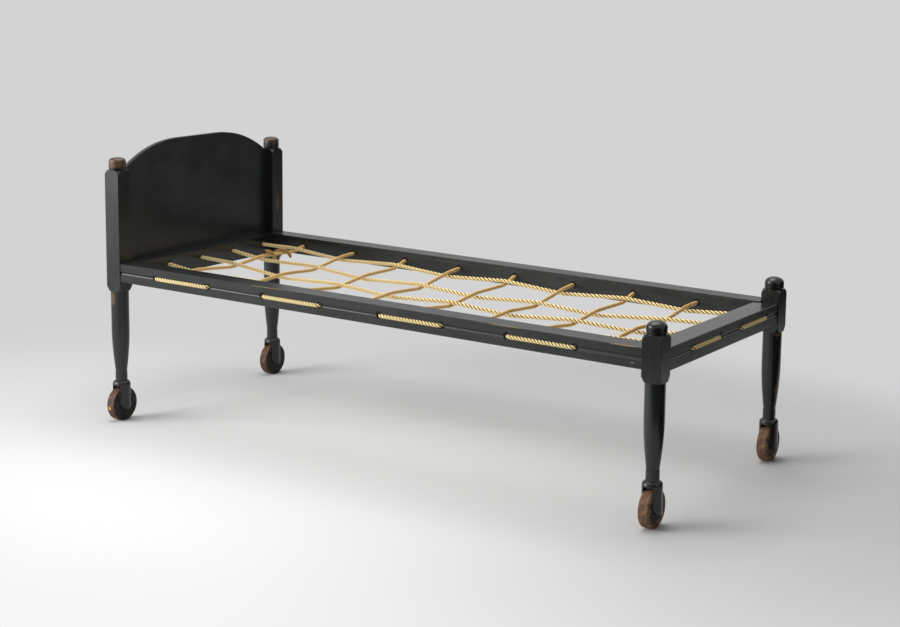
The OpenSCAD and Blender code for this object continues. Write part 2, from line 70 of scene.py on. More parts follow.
# The photograph's uprights stand parallel: its lens was raised by about an eighth of the frame's height
LENS_SHIFT = -0.08167
VIEW_END = 60                  # metres, past the floor's edge


def set_camera():
    forward = Vector((-math.sin(YAW) * math.cos(PITCH), math.cos(YAW) * math.cos(PITCH), -math.sin(PITCH)))
    right = Vector((math.cos(YAW), math.sin(YAW), 0))
    up = right.cross(forward)
    across = math.cos(ROLL) * right + math.sin(ROLL) * up
    upward = -math.sin(ROLL) * right + math.cos(ROLL) * up
    turn = Matrix((across, upward, -forward)).transposed().to_4x4()
    camera = bpy.data.objects.new("camera", bpy.data.cameras.new("camera"))
    camera.matrix_world = Matrix.Translation(place(*CAMERA_PLACE)) @ turn
    camera.data.sensor_width = SENSOR
    camera.data.lens = LENS
    camera.data.shift_y = LENS_SHIFT
    camera.data.clip_end = VIEW_END
    scene.collection.objects.link(camera)
    scene.camera = camera


set_camera()


# ---------------------------------------------------------------- materials
def colour(code):
    """sRGB hex to linear RGBA."""
    parts = [int(code[i:i + 2], 16) / 255 for i in (0, 2, 4)]
    return [c / 12.92 if c <= 0.04045 else ((c + 0.055) / 1.055) ** 2.4 for c in parts] + [1]


def add(tree, kind, inputs=None, out=0, stops=(), **settings):
    """Adds one node with its settings, values or links on its inputs, and a ramp's (position, hex) stops.
    Returns its output of that number or name."""
    made = tree.nodes.new("ShaderNode" + kind)
    for name, value in settings.items():
        setattr(made, name, value)
    for key, value in (inputs or {}).items():
        if isinstance(value, bpy.types.NodeSocket):
            tree.links.new(value, made.inputs[key])
        else:
            made.inputs[key].default_value = value
    while stops and len(made.color_ramp.elements) < len(stops):
        made.color_ramp.elements.new(0.5)
    for i, (position, code) in enumerate(stops):
        made.color_ramp.elements[i].position = position
        made.color_ramp.elements[i].color = colour(code)
    return made.outputs[out] if made.outputs else None


def new_material(name):
    made = bpy.data.materials.new(name)
    made.use_nodes = True
    made.node_tree.nodes.clear()
    return made, made.node_tree


def noise_scale(width):
    """The noise Scale, on metres, that gives features this many mm wide."""
    return 1 / (width * MM)


BUMP_STRENGTH = 0.6


def finish_material(tree, base, rough, height, depth, specular=0.5):
    """The surface: its colour and roughness, with height standing up to depth mm proud."""
    bump = add(tree, "Bump", {"Height": height, "Strength": BUMP_STRENGTH, "Distance": depth * MM})
    shader = add(tree, "BsdfPrincipled", {
        "Base Color": base, "Roughness": rough, "Specular IOR Level": specular, "Normal": bump})
    add(tree, "OutputMaterial", {"Surface": shader})


# Widths in mm of a grain line, a brush mark, a cloud of tone, a chip and a stretch of chipped edge
GRAIN_LINE, BRUSH_MARK, TONE_CLOUD, CHIP, CHIPPED_STRETCH = 3.846, 14.29, 142.9, 11.11, 83.33
DRAWN = 0.06                   # a grain line's width over its length
ALONG = {"x": (DRAWN, 1, 1), "y": (1, DRAWN, 1), "z": (1, 1, DRAWN)}
ARRIS = 2.5                    # mm from an edge that wear reaches
EDGE_MATCH = (0.995, 0.86)     # how well the rounded normal matches the face's: before the edge, and on it
RUB_STARTS = 0.35              # rubbing that breaks through the paint
TOP_BARE, SPOT_BARE = 0.75, 0.7     # rubbing that leaves no paint, on a finial and in a spot
SPOT_CORE = 0.3                # share of a bare spot that is rubbed to the full
# Shade painted round a rope's hole: where it ends and where it is darkest, in mm from a middle set this far
# upward
MOUTH_END, MOUTH_DARK, MOUTH_UP = 12.5, 10, 2
# The painted shade's colour, and the roughness added there so that it shows no gloss
MOUTH_SHADE_COLOUR, MOUTH_DULL = "0C0A08", 0.7
BLACK_GREEN, BOARD_GREEN = ("131715", "1F2422"), ("181C1B", "232827")     # darkest and lightest
BROWN_WOOD, YELLOW_WOOD = ("33251A", "6F5238"), ("5A4A30", "968458")
# Noise values from which to which a pattern goes through its whole range
ONE_NOISE, TWO_NOISES = (0.3, 0.7), (0.75, 1.25)
CHIPPED, CHIPPED_HERE = (0.5, 0.66), (0.38, 0.6)     # the chips' noise, and their stretches' noise
# Least and most roughness of the paint: fresh gloss, gloss gone soft, and the broad board's
GLOSS, SOFT_GLOSS, BOARD_GLOSS = (0.2, 0.265), (0.29, 0.36), (0.3, 0.42)


def rubbed(tree, hard, chips, all_bare):
    """How bare the wood is where it was rubbed this hard, with the chips' ragged edge."""
    ragged = add(tree, "Math", {0: chips, 1: 0.5}, operation="SUBTRACT")
    ragged = add(tree, "Math", {0: hard, 1: ragged}, operation="ADD")
    return add(tree, "MapRange", {"Value": ragged, "From Min": RUB_STARTS, "From Max": all_bare})


def chipped_edges(tree, where, chips):
    """Chips along the arrises, found where the Bevel node's normal parts from the face's own."""
    soft = add(tree, "Bevel", {"Radius": ARRIS * MM}, samples=6)
    face = add(tree, "NewGeometry", out="Normal")
    match = add(tree, "VectorMath", {0: soft, 1: face}, out="Value", operation="DOT_PRODUCT")
    edge = add(tree, "MapRange", {"Value": match, "From Min": EDGE_MATCH[0], "From Max": EDGE_MATCH[1]})
    stretch = add(tree, "TexNoise", {"Vector": where, "Scale": noise_scale(CHIPPED_STRETCH), "Detail": 2})
    stretch = add(tree, "MapRange", {
        "Value": stretch, "From Min": CHIPPED_HERE[0], "From Max": CHIPPED_HERE[1]})
    chipped = add(tree, "MapRange", {"Value": chips, "From Min": CHIPPED[0], "From Max": CHIPPED[1]})
    wear = add(tree, "Math", {0: edge, 1: chipped}, operation="MULTIPLY")
    return add(tree, "Math", {0: wear, 1: stretch}, operation="MULTIPLY")


def worn_finial(tree, where, chips, low, high, hard):
    """A finial rubbed bare by hands, from a height of low mm up to high mm, where it is rubbed hardest."""
    height = add(tree, "SeparateXYZ", {0: where}, out="Z")
    rub = add(tree, "MapRange", {"Value": height, "From Min": low * MM, "From Max": high * MM})
    rub = add(tree, "Math", {0: rub, 1: hard}, operation="MULTIPLY")
    return rubbed(tree, rub, chips, TOP_BARE)


def bare_spot(tree, where, chips, spot, half_sizes, hard):
    """A knock or a rubbed place: an ellipsoid of these half sizes in mm round a place of the plan."""
    away = add(tree, "VectorMath", {0: where, 1: place(*spot)}, operation="SUBTRACT")
    away = add(tree, "VectorMath", {0: away, 1: [1 / (h * MM) for h in half_sizes]}, operation="MULTIPLY")
    away = add(tree, "VectorMath", {0: away}, out="Value", operation="LENGTH")
    rub = add(tree, "MapRange", {"Value": away, "From Min": 1, "From Max": SPOT_CORE})
    rub = add(tree, "Math", {0: rub, 1: hard}, operation="MULTIPLY")
    return rubbed(tree, rub, chips, SPOT_BARE)


def painted_mouth_shade(tree, where, holes, plane):
    """1 in the shade painted round the ropes' holes, 0 elsewhere."""
    dark = 0
    for x, y, z in holes:
        away = add(tree, "VectorMath", {0: where, 1: place(x, y, z + MOUTH_UP)}, operation="SUBTRACT")
        away = add(tree, "VectorMath", {0: away, 1: plane}, operation="MULTIPLY")
        away = add(tree, "VectorMath", {0: away}, out="Value", operation="LENGTH")
        near = add(tree, "MapRange", {"Value": away, "From Min": MOUTH_END * MM, "From Max": MOUTH_DARK * MM})
        dark = add(tree, "Math", {0: dark, 1: near}, operation="MAXIMUM")
    return dark


def old_paint(name, grain, top=None, spots=(), holes=(), paint=BLACK_GREEN, wood=BROWN_WOOD, gloss=GLOSS):
    """Black-green oil paint, brushed by hand over planed softwood and rubbed by use. Semi-gloss, with the
    grain just telegraphing through and brown wood bare where hands, ropes and knocks have reached it.
    The grain runs along the axis named, top and spots say where the piece is worn, and holes say where shade
    is painted round the ropes' holes."""
    made, tree = new_material(name)
    where = add(tree, "TexCoord", out="Object")
    along = add(tree, "Mapping", {"Vector": where, "Scale": ALONG[grain]})
    lines = add(tree, "TexNoise", {
        "Vector": along, "Scale": noise_scale(GRAIN_LINE), "Detail": 4, "Roughness": 0.6})
    brush = add(tree, "TexNoise", {"Vector": along, "Scale": noise_scale(BRUSH_MARK), "Detail": 3})
    cloud = add(tree, "TexNoise", {
        "Vector": where, "Scale": noise_scale(TONE_CLOUD), "Detail": 4, "Roughness": 0.6})
    chips = add(tree, "TexNoise", {
        "Vector": where, "Scale": noise_scale(CHIP), "Detail": 5, "Roughness": 0.7})
    tone = add(tree, "Math", {0: brush, 1: cloud}, operation="ADD")
    tone = add(tree, "MapRange", {"Value": tone, "From Min": TWO_NOISES[0], "From Max": TWO_NOISES[1]})
    base = add(tree, "ValToRGB", {"Fac": tone}, stops=list(zip((0, 1), paint)))
    wear = chipped_edges(tree, where, chips)
    rubs = [worn_finial(tree, where, chips, *top)] if top else []
    rubs += [bare_spot(tree, where, chips, *spot) for spot in spots]
    for rub in rubs:
        wear = add(tree, "Math", {0: wear, 1: rub}, operation="MAXIMUM")
    bare = add(tree, "ValToRGB", {"Fac": lines}, stops=list(zip(ONE_NOISE, wood)))
    base = add(tree, "Mix", {"Factor": wear, 6: base, 7: bare}, out=2, data_type="RGBA")
    rough = add(tree, "MapRange", {
        "Value": cloud, "From Min": ONE_NOISE[0], "From Max": ONE_NOISE[1],
        "To Min": gloss[0], "To Max": gloss[1]})
    # Shade painted round the ropes' holes: darker colour and rougher paint there
    if holes:
        mouth_shade = painted_mouth_shade(tree, where, holes, (1, 0, 1) if grain == "x" else (0, 1, 1))
        base = add(tree, "Mix", {"Factor": mouth_shade, 6: base, 7: colour(MOUTH_SHADE_COLOUR)}, out=2, data_type="RGBA")
        # Rougher there too, so that the painted shade shows no gloss
        rough = add(tree, "Math", {0: mouth_shade, 1: MOUTH_DULL, 2: rough}, operation="MULTIPLY_ADD")
    finish_material(tree, base, rough, lines, depth=0.25)
    return made


# Widths in mm of a wheel's grain line, a band of its grain and a chip in its paint
WHEEL_LINE, WHEEL_BAND, WHEEL_CHIP = 3.03, 14.29, 13.33
WHEEL_DRAWN = 0.12             # a line's width over its length, along +y
SIDE_STARTS, SIDE_ENDS = 12.5, 14.6     # mm from the wheel's middle over which its tread turns into a side
RIM_STARTS, RIM_ENDS = 34, 48           # mm from the axle over which knocks on the rim begin to tell
PAINT_LEFT = (0.6, 0.68)       # wear at which the paint begins to go, and at which it has gone
FIGURE = (0.7, 1.3)            # the sum of the two grain noises at which the wood is darkest and palest
WHEEL_PAINT = "151412"
FLECK_COLOUR, FLECK_R, FLECK_CORE = "B8933F", 8, 4
HEAD_WHEEL_WOOD = ("2A1A12", "523526", "7A5640")
FOOT_WHEEL_WOOD = ("3B2A1E", "6E503A", "96704F")


def worn_wheel(name, corner, rim_wear, wood, fleck=None):
    """A solid softwood wheel: end grain and dirt on the tread, face grain on its sides, with what is left
    of the dark paint on the sides. Dull and dry. rim_wear is how much sooner the paint goes at the rim, and
    fleck the place of a fleck of yellow paint, if there is one."""
    made, tree = new_material(name)
    where = add(tree, "TexCoord", out="Object")
    centred = add(tree, "Mapping", {"Vector": where, "Location": -Vector(AXLES[corner])})
    grain = add(tree, "Mapping", {"Vector": centred, "Scale": (1, WHEEL_DRAWN, 1)})
    lines = add(tree, "TexNoise", {
        "Vector": grain, "Scale": noise_scale(WHEEL_LINE), "Detail": 4, "Roughness": 0.6})
    bands = add(tree, "TexNoise", {"Vector": grain, "Scale": noise_scale(WHEEL_BAND), "Detail": 3})
    chips = add(tree, "TexNoise", {
        "Vector": centred, "Scale": noise_scale(WHEEL_CHIP), "Detail": 5, "Roughness": 0.65})
    figure = add(tree, "Math", {0: lines, 1: bands}, operation="ADD")
    tone = add(tree, "MapRange", {"Value": figure, "From Min": FIGURE[0], "From Max": FIGURE[1]})
    base = add(tree, "ValToRGB", {"Fac": tone}, stops=list(zip((0, 0.5, 1), wood)))
    across = add(tree, "SeparateXYZ", {0: centred}, out="X")
    across = add(tree, "Math", {0: across}, operation="ABSOLUTE")
    side = add(tree, "MapRange", {"Value": across, "From Min": SIDE_STARTS * MM, "From Max": SIDE_ENDS * MM})
    out = add(tree, "VectorMath", {0: centred, 1: (0, 1, 1)}, operation="MULTIPLY")
    out = add(tree, "VectorMath", {0: out}, out="Value", operation="LENGTH")
    rim = add(tree, "MapRange", {"Value": out, "From Min": RIM_STARTS * MM, "From Max": RIM_ENDS * MM})
    wear = add(tree, "Math", {0: rim, 1: rim_wear, 2: chips}, operation="MULTIPLY_ADD")
    gone = add(tree, "MapRange", {"Value": wear, "From Min": PAINT_LEFT[0], "From Max": PAINT_LEFT[1]})
    painted = add(tree, "Math", {0: 1, 1: gone}, operation="SUBTRACT")
    painted = add(tree, "Math", {0: painted, 1: side}, operation="MULTIPLY")
    base = add(tree, "Mix", {"Factor": painted, 6: base, 7: colour(WHEEL_PAINT)}, out=2, data_type="RGBA")
    if fleck:
        away = add(tree, "VectorMath", {0: where, 1: place(*fleck)}, out="Value", operation="DISTANCE")
        near = add(tree, "MapRange", {"Value": away, "From Min": FLECK_R * MM, "From Max": FLECK_CORE * MM})
        base = add(tree, "Mix", {"Factor": near, 6: base, 7: colour(FLECK_COLOUR)}, out=2, data_type="RGBA")
    finish_material(tree, base, rough=0.62, height=figure, depth=0.5, specular=0.35)
    return made


RUST_SPOT = 3.333              # mm


def dull_iron():
    """Wrought iron pin ends, oxidised dark brown and matt."""
    made, tree = new_material("dull_iron")
    where = add(tree, "TexCoord", out="Object")
    rust = add(tree, "TexNoise", {"Vector": where, "Scale": noise_scale(RUST_SPOT), "Detail": 4})
    base = add(tree, "ValToRGB", {"Fac": rust}, stops=[(0.35, "1E1B19"), (0.7, "3A2C23")])
    finish_material(tree, base, rough=0.6, height=rust, depth=0.2)
    return made


FIBRE_LENGTH, FIBRE_WIDTH = 11.11, 1.111     # mm. A real fibre is finer, too fine to show in the render.
ROPE_CLOUD = 111.1             # mm, of a change of tone along a rope
FIBRE_SHADE, CLOUD_SHADE = 0.03, 0.05        # how far they shift a strand's tone, up or down
# Outside the near rail the rope's links are given a paler colour, a painted light on them. It begins inside
# the rail, over these distances in mm outward from the posts' centres.
LINK_LIGHT_STARTS, LINK_LIGHT_FULL = 10, 20
LINK_LIGHT_STOPS = [(0.66, "54320C"), (0.8, "F0B85C"), (0.9, "FFF2BC")]


def laid_hemp(name, stops, painted_lit_links=False):
    """Three-strand laid rope of dressed hemp, almost matt. Shade is painted into the grooves between the
    strands, which are brown, and light onto the strands' crowns, which are pale. Fibres run along each
    strand."""
    made, tree = new_material(name)
    crown = add(tree, "Attribute", out="Fac", attribute_name="crown")
    strand = add(tree, "UVMap", uv_map="strand")
    drawn = add(tree, "Mapping", {
        "Vector": strand, "Scale": (noise_scale(FIBRE_LENGTH), noise_scale(FIBRE_WIDTH), 1)})
    fibre = add(tree, "TexNoise", {"Vector": drawn, "Scale": 1, "Detail": 3})
    where = add(tree, "TexCoord", out="Object")
    cloud = add(tree, "TexNoise", {"Vector": where, "Scale": noise_scale(ROPE_CLOUD), "Detail": 3})
    for noise, shade in ((fibre, FIBRE_SHADE), (cloud, CLOUD_SHADE)):
        shift = add(tree, "MapRange", {"Value": noise, "To Min": -shade, "To Max": shade})
        crown = add(tree, "Math", {0: crown, 1: shift}, operation="ADD")
    # Painted shade towards the grooves and painted light on the crowns, by the crown value
    base = add(tree, "ValToRGB", {"Fac": crown}, stops=stops)
    # Painted light: the links outside the near rail get the paler stops
    if painted_lit_links:
        across = add(tree, "SeparateXYZ", {0: where}, out="Y")
        outside = add(tree, "MapRange", {
            "Value": across,
            "From Min": START[1] - LINK_LIGHT_STARTS * MM, "From Max": START[1] - LINK_LIGHT_FULL * MM})
        link_light = add(tree, "ValToRGB", {"Fac": crown}, stops=LINK_LIGHT_STOPS)
        base = add(tree, "Mix", {"Factor": outside, 6: base, 7: link_light}, out=2, data_type="RGBA")
    finish_material(tree, base, rough=0.7, height=fibre, depth=0.1, specular=0.25)
    return made


# Ramp stops run from the painted shade in the grooves to the painted light on the crowns
GOLD_HEMP = laid_hemp("laid_hemp_golden", [(0.66, "8A5A1C"), (0.8, "FFCF70"), (0.92, "FFF2BC")])
TAN_HEMP = laid_hemp(
    "laid_hemp_tan", [(0.55, "6A4416"), (0.8, "E6AE5E"), (0.95, "FFDD98")], painted_lit_links=True)
BROWN_HEMP = laid_hemp("laid_hemp_brown", [(0.64, "54340F"), (0.83, "B07C42"), (0.95, "DDB277")])
IRON = dull_iron()


def give(node, material):
    slots = nodes[node].data.materials
    slots.clear()
    slots.append(material)


# ---------------------------------------------------------------- posts, wheels, pins, pegs and headboard
# From where to where in mm a finial is worn, and how hard
HEAD_TOPS = {"head_near": (808, 824, 0.72), "head_far": (808, 836, 0.64)}
FOOT_TOP = (524, 580, 0.6)
# Bare spots of the posts as (place, half sizes, how hard rubbed), in mm
POST_SPOTS = {
    "head_near": [((-3, -24, 400), (12, 16, 32), 1.1), ((14, -POST_HALF, 529), (4, 5, 7), 0.9)],
    "head_far": [((POST_HALF, WIDTH - 2, 622), (10, 15, 58), 0.78),
                 ((POST_HALF, WIDTH + 10, 552), (8, 8, 34), 0.66)],
    "foot_near": [],
    "foot_far": [((LENGTH + 20, WIDTH - 12, 393), (18, 22, 14), 0.72),
                 ((LENGTH + 17, WIDTH - 8, 225), (14, 16, 34), 0.72),
                 ((LENGTH + POST_HALF, WIDTH - 20, 522), (6, 8, 6), 0.9)],
}
HEAD_RIM_WEAR, FOOT_RIM_WEAR = 0.08, 0.28
FLECKS = {"head_near": (-4, -53, 46)}


def dress_corner(corner):
    """The paint of a post, and the wood and iron of its wheel and pin."""
    end, side = corner.split("_")
    at_head = end == "head"
    top = HEAD_TOPS.get(corner, FOOT_TOP)
    gloss = SOFT_GLOSS if at_head else GLOSS
    paint = old_paint(f"old_paint_post_{corner}", "z", top, POST_SPOTS[corner], gloss=gloss)
    give(f"{end}_post_{side}", paint)
    rim_wear = HEAD_RIM_WEAR if at_head else FOOT_RIM_WEAR
    wood = HEAD_WHEEL_WOOD if at_head else FOOT_WHEEL_WOOD
    give(f"wheel_{corner}", worn_wheel(f"worn_wheel_{corner}", corner, rim_wear, wood, FLECKS.get(corner)))
    give(f"axle_{corner}", IRON)


for corner in AXLES:
    dress_corner(corner)
PEG_PAINT = old_paint("old_paint_pegs", "x")
for pegs in ("side_rail_pegs", "end_rail_pegs"):
    give(pegs, PEG_PAINT)
give("headboard", old_paint("old_paint_headboard", "y", paint=BOARD_GREEN, gloss=BOARD_GLOSS))


# ---------------------------------------------------------------- the ropes' routes, in mm on the plan
ROPE_D = 12.5
BEND_R = 9.0                   # of the rope's bends in the holes' mouths
INSIDE = 47.5                  # from the posts' centres to where the runs leave the rails
RUNS, LANES = 8, 4             # crosswise and lengthwise
RUN_FIRST, RUN_LAST = 175, 229     # from the posts' centres to the first and the last crosswise run
# From the posts' centres to the outer lengthwise runs, at the head and at the foot
NEAR_RUN, FAR_RUN = (186, 169), (101, 112)
STRAY = 11                     # the foot rail's inner holes are this much nearer each other
WEAVE = ROPE_D / 2 + 0.6       # half the distance of two crossing ropes' lines
SAG = 27.0                     # depth of the net
SAG_LENGTHWISE, SAG_CROSSWISE = 1.05, 0.46     # where it is deepest: of half the length, of the width
SAG_PAST = 15                  # the sag across the bed would end this far outside the posts' centres
ROUND_OFF = 9                  # a run's rounding at each crossing
CORNER_SHARE = 0.8             # how far the rounding's middle keeps to the corner


def run_x(k):
    """Where crosswise run k is along the bed."""
    return RUN_FIRST + (LENGTH - RUN_FIRST - RUN_LAST) / (RUNS - 1) * k


def lace_y(end, j):
    """Where lengthwise run j goes through the head rail, end 0, or the foot rail, end 1."""
    pitch = (WIDTH - NEAR_RUN[end] - FAR_RUN[end]) / (LANES - 1)
    return NEAR_RUN[end] + pitch * j + (0, STRAY, -STRAY, 0)[j] * end


def lane_y(j, x):
    """Where lengthwise run j is across the bed at x, on its straight way between the rails."""
    return lace_y(0, j) + (lace_y(1, j) - lace_y(0, j)) * (x - INSIDE) / (LENGTH - 2 * INSIDE)


def hole_at(x):
    """Height of the holes at x. The rails fall from the head to the foot."""
    return HOLE_Z + FALL * (0.5 - x / LENGTH)


END_HOLE = (hole_at(0), hole_at(LENGTH))


def cross_z(k, j, up):
    """Height of a rope where runs k and j cross. up is 1 for the upper rope and -1 for the lower."""
    x = run_x(k)
    down_bed = 1 - abs(2 * x / LENGTH - SAG_LENGTHWISE) ** 3
    over_bed = 1 - ((lane_y(j, x) - SAG_CROSSWISE * WIDTH) / (WIDTH / 2 + SAG_PAST)) ** 2
    return hole_at(x) - SAG * down_bed * over_bed + up * WEAVE


def crosswise_up(k, j):
    return 1 if (k + j) % 2 == 0 else -1


def rounded(stations):
    """Points through stations of (distance, height): straight between them and rounded at each."""
    points = [np.array(station, float) for station in stations]
    out = [points[0]]
    for before, here, after in zip(points, points[1:], points[2:]):
        a = here + ROUND_OFF * (before - here) / np.linalg.norm(before - here)
        b = here + ROUND_OFF * (after - here) / np.linalg.norm(after - here)
        out += [a, here * CORNER_SHARE + (a + b) / 2 * (1 - CORNER_SHARE), b]
    return out + [points[-1]]


def cross_stations(k):
    end = hole_at(run_x(k))
    middle = [(lane_y(j, run_x(k)), cross_z(k, j, crosswise_up(k, j))) for j in range(LANES)]
    return [(INSIDE, end)] + middle + [(WIDTH - INSIDE, end)]


def cross_run(k):
    return [(run_x(k), y, z) for y, z in rounded(cross_stations(k))]


def length_run(j):
    middle = [(run_x(k), cross_z(k, j, -crosswise_up(k, j))) for k in range(RUNS)]
    stations = [(INSIDE, END_HOLE[0])] + middle + [(LENGTH - INSIDE, END_HOLE[1])]
    return [(x, lane_y(j, x), z) for x, z in rounded(stations)]


def link(a, b, face, deep):
    """(along, across) of an outer link from a to b on a rail's face, with a bend into the rail at each
    end. deep is the way into the rail, 1 or -1."""
    s = 1 if b > a else -1
    turn = [math.radians(w) for w in range(0, 91, 10)]
    into = [face + deep * BEND_R * (1 - math.sin(w)) for w in turn]
    start = [(a + s * BEND_R * (1 - math.cos(w)), y) for w, y in zip(turn, into)]
    end = [(b - s * BEND_R * (1 - math.cos(w)), y) for w, y in zip(turn, into)]
    return start + end[::-1]


NEAR_FACE, FAR_FACE = -RAIL_OUT, WIDTH + RAIL_OUT
HEAD_FACE, FOOT_FACE = -RAIL_OUT, LENGTH + RAIL_OUT
WRAP_R = ROPE_D + 0.5          # distance of a wrapped rope's centre from the rope inside it
KNOT_LOW = ROPE_D / 2 + 0.5    # the knot's rope lies this far outside the groove's line, and starts this high
KNOT_HIGH = KNOT_LOW + ROPE_D + 1.1
KNOT_LEAD, KNOT_TURN, KNOT_ROUND = 8, 60, 336     # mm straight out, then degrees to and round the rope
KNOT_DROP = 240                # degrees over which it comes down to the rail
KNOT_RISE, KNOT_PULL = 1, 9    # mm from the ends of the curve at its top to the grips that shape it
KNOT_CURVE, KNOT_STEP = 12, 8  # points of that curve, and degrees between the points round the rope
KNOT_TAIL = (4, 8, 12)         # mm straight on from there


def ease(t):
    return (1 - math.cos(math.pi * t)) / 2


def bezier(p, t):
    return (1 - t) ** 3 * p[0] + 3 * t * (1 - t) ** 2 * p[1] + 3 * t * t * (1 - t) * p[2] + t ** 3 * p[3]


def knot():
    """A stopper knot as (across, along the rail's groove, out of the rail). The rope comes straight out,
    turns aside at the top and goes once round itself against the rail."""
    turn = math.radians(KNOT_TURN)
    end = Vector((WRAP_R * math.cos(turn), WRAP_R * math.sin(turn), KNOT_HIGH))
    back = Vector((math.sin(turn), -math.cos(turn), 0))
    grips = [Vector((0, 0, KNOT_LEAD)), Vector((0, 0, KNOT_HIGH + KNOT_RISE)), end + KNOT_PULL * back, end]
    out = [Vector((0, 0, 0))] + [bezier(grips, i / KNOT_CURVE) for i in range(KNOT_CURVE)]
    for a in range(0, KNOT_ROUND + 1, KNOT_STEP):
        w = turn + math.radians(a)
        z = KNOT_HIGH - (KNOT_HIGH - KNOT_LOW) * ease(min(1, a / KNOT_DROP))
        out.append(Vector((WRAP_R * math.cos(w), WRAP_R * math.sin(w), z)))
    last = turn + math.radians(KNOT_ROUND)
    tail = Vector((-math.sin(last), math.cos(last), 0))
    brim = Vector((WRAP_R * math.cos(last), WRAP_R * math.sin(last), KNOT_LOW))
    return out + [brim + d * tail for d in KNOT_TAIL]


def far_knot(x):
    return [(x + q[0], FAR_FACE + q[2], hole_at(x) + q[1]) for q in knot()]


def head_knot(y):
    return [(HEAD_FACE - q[2], y + q[0], END_HOLE[0] + q[1]) for q in knot()]


def crosswise_route():
    """From its first hole in the far rail to its last, with a stopper knot at each end."""
    route = far_knot(run_x(0))[::-1]
    for k in range(RUNS):
        run = cross_run(k)
        route += run[::-1] if k % 2 == 0 else run
        if k < RUNS - 1:
            face, deep = (NEAR_FACE, 1) if k % 2 == 0 else (FAR_FACE, -1)
            route += [(a, b, hole_at(a)) for a, b in link(run_x(k), run_x(k + 1), face, deep)]
    return route + far_knot(run_x(RUNS - 1))


def lengthwise_route():
    """From the near hole in the head rail to the far one, with a stopper knot at each end."""
    route = head_knot(lace_y(0, 0))[::-1]
    for j in range(LANES):
        run = length_run(j)
        route += run if j % 2 == 0 else run[::-1]
        if j < LANES - 1:
            end, face, deep = (1, FOOT_FACE, -1) if j % 2 == 0 else (0, HEAD_FACE, 1)
            route += [(b, a, END_HOLE[end]) for a, b in link(lace_y(end, j), lace_y(end, j + 1), face, deep)]
    return route + head_knot(lace_y(0, LANES - 1))


TIE_SWEEP = 450                # degrees that the tied end goes round the run inside it
TIE_PAST, TIE_SHORT = 42, 22   # from the two crossings that it lies between
TIE_START, TIE_END = (15, 10, 5), (3, 7, 11, 14)     # mm from its wraps along its two stubs
# Shares of that by which the first stub leads outward and along, and the last one inward
START_OUT, START_ALONG, END_IN = 0.2, 0.5, 0.1
START_GAP, END_LIFT = 2, 0.3   # mm between the stubs and the wraps


def tie_route():
    """The short rope end, twisted round the first crosswise run between its two far crossings."""
    x = run_x(0)
    first, last = lane_y(3, x) - TIE_PAST, lane_y(2, x) + TIE_SHORT
    heights = list(zip(*cross_stations(0)))

    def run_z(y):
        return float(np.interp(y, *heights))

    out = [(x + WRAP_R + d * START_OUT, first + START_GAP + d * START_ALONG, run_z(first) - d)
           for d in TIE_START]
    for a in range(0, TIE_SWEEP + 1, 10):
        y = first + (last - first) * a / TIE_SWEEP
        w = math.radians(a)
        out.append((x + WRAP_R * math.cos(w), y, run_z(y) + WRAP_R * math.sin(w)))
    return out + [(x - d * END_IN, last - d, run_z(last - d) + WRAP_R + END_LIFT) for d in TIE_END]


# ---------------------------------------------------------------- the rails, worn, with shade painted round the ropes' holes
NEAR_RAIL_SPOTS = [((1815, -RAIL_OUT, 490), (60, 5, 4), 1.0), ((1450, -RAIL_OUT, 495), (130, 4, 3), 0.7),
                   ((640, -RAIL_OUT, 507), (150, 4, 3), 0.7), ((1844, -RAIL_OUT, 446), (10, 4, 3), 0.8)]
SIDE_HOLES = [(run_x(k), 0, hole_at(run_x(k))) for k in range(RUNS)]
END_HOLES = [[(0, lace_y(end, j), END_HOLE[end]) for j in range(LANES)] for end in (0, 1)]

give("side_rail_near", old_paint("old_paint_side_rail_near", "x", spots=NEAR_RAIL_SPOTS, holes=SIDE_HOLES,
                                 wood=YELLOW_WOOD, gloss=SOFT_GLOSS))
give("side_rail_far", old_paint("old_paint_side_rail_far", "x", holes=SIDE_HOLES, gloss=SOFT_GLOSS))
for rail, holes in zip(("head_rail", "foot_rail"), END_HOLES):
    give(rail, old_paint(f"old_paint_{rail}", "y", holes=holes))


# ---------------------------------------------------------------- laid rope along a route
STRANDS, STRAND_SIDES = 3, 8
RING = 4.6                     # mm between a strand's rings
STRAND_R = 0.475               # a strand's radius over the rope's
TIP = 0.72                     # a strand's size at its blunt end
CROWN_STARTS = 0.35            # share of the rope's radius at which a strand's crown value is 0
LAY = 33.0                     # mm in which a strand goes once round, as in the photograph's outer links
# The lengthwise rope's turns, too fine to show in the render, are drawn this long
COARSE_LAY = 45.0
STRAND_SHIFT = 3.1             # metres between the strands' fibres, so that they don't repeat


def resampled(route, step):
    """The route as points an even step apart, slightly smoothed."""
    p = np.array([tuple(q) for q in route], float)
    keep = np.ones(len(p), bool)
    keep[1:] = np.linalg.norm(np.diff(p, axis=0), axis=1) > 1e-6
    p = p[keep]
    s = np.concatenate([[0], np.cumsum(np.linalg.norm(np.diff(p, axis=0), axis=1))])
    count = max(4, int(round(s[-1] / step)))
    even = np.linspace(0, s[-1], count + 1)
    q = np.stack([np.interp(even, s, p[:, i]) for i in range(3)], 1)
    for _ in range(2):
        q[1:-1] = 0.25 * q[:-2] + 0.5 * q[1:-1] + 0.25 * q[2:]
    return q


def frames(q):
    """A direction along the route and two across it at each point, turning as little as they can."""
    t = np.gradient(q, axis=0)
    t /= np.linalg.norm(t, axis=1)[:, None]
    u = np.zeros_like(q)
    first = np.array([0, 0, 1.0]) if abs(t[0][2]) < 0.9 else np.array([1.0, 0, 0])
    for i in range(len(q)):
        first = first - (first @ t[i]) * t[i]
        first /= np.linalg.norm(first)
        u[i] = first
    return t, u, np.cross(t, u)


